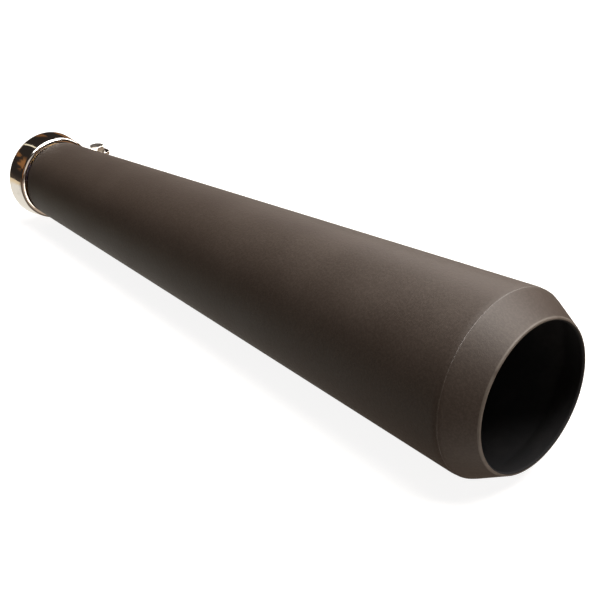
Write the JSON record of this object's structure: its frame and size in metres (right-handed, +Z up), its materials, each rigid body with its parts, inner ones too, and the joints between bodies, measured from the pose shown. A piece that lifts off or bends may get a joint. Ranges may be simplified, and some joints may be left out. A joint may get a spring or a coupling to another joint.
{
  "type": "motorcycle exhaust silencer",
  "caption": "Reverse-cone megaphone silencer with a chrome inlet clamp, a removable perforated baffle and a slotted hanger rail on its back.",
  "frame": {"origin": "centre of the open end of the inlet neck", "axes": "+X along the silencer's axis towards the tail, +Z up, +Y towards the back, where the hanger rail is"},
  "size_m": [0.4495, 0.1042, 0.0998],
  "materials": {
    "black_paint": "satin high-temperature paint with a fine texture",
    "chrome": "polished chrome plate",
    "bright_zinc": "bright zinc-plated steel",
    "bare_steel": "drawn steel tube, oiled",
    "sooty_steel": "matt black heat-proof coat",
    "glass_fibre": "needled glass-fibre mat",
    "tie_wire": "stainless wire"
  },
  "bodies": {
    "silencer": {"megaphone_shell": "black_paint", "reverse_cone": "black_paint", "shoulder_weld": "black_paint", "inlet_neck": "bare_steel", "front_ring": "black_paint", "neck_weld": "bare_steel", "neck_support_ring": "bare_steel", "screw_boss": "black_paint", "hanger_rail": "black_paint", "hanger_rail_welds": "black_paint"},
    "clamp": {"clamp_band": "chrome", "clamp_bolt_washer": "bright_zinc", "clamp_nut_washer": "bright_zinc"},
    "clamp_bolt": {"clamp_bolt": "bright_zinc"},
    "clamp_nut": {"clamp_nut": "bright_zinc"},
    "baffle": {"core_tube": "sooty_steel", "core_nose": "sooty_steel", "packing_front_disc": "sooty_steel", "rear_plate": "sooty_steel", "core_weld": "sooty_steel", "glass_fibre_packing": "glass_fibre", "packing_wire_ties": "tie_wire"},
    "baffle_screw": {"baffle_screw": "bright_zinc", "screw_lock_washer": "bright_zinc"},
    "hanger_nut": {"hanger_slot_nut": "bright_zinc"}
  },
  "joints": [
    {"name": "clamp_swivel", "type": "hinge", "parent": "silencer", "child": "clamp", "pos_m": [0.0098, 0, 0], "axis": [1, 0, 0], "continuous": true},
    {"name": "clamp_bolt_turn", "type": "hinge", "parent": "clamp", "child": "clamp_bolt", "pos_m": [0.0098, 0.03978, 0.00139], "axis": [0, -0.0349, 0.9994], "continuous": true},
    {"name": "clamp_nut_turn", "type": "hinge", "parent": "clamp", "child": "clamp_nut", "pos_m": [0.0098, 0.03978, 0.00139], "axis": [0, -0.0349, 0.9994], "continuous": true},
    {"name": "baffle_slide", "type": "slide", "parent": "silencer", "child": "baffle", "axis": [1, 0, 0], "range_m": [0, 0.4]},
    {"name": "baffle_screw_turn", "type": "hinge", "parent": "silencer", "child": "baffle_screw", "pos_m": [0.244, 0.03297, -0.02224], "axis": [0, 0.829, -0.5592], "continuous": true},
    {"name": "hanger_nut_slide", "type": "slide", "parent": "silencer", "child": "hanger_nut", "axis": [0.9985, 0.045, -0.0304], "range_m": [-0.024, 0.024]}
  ]
}
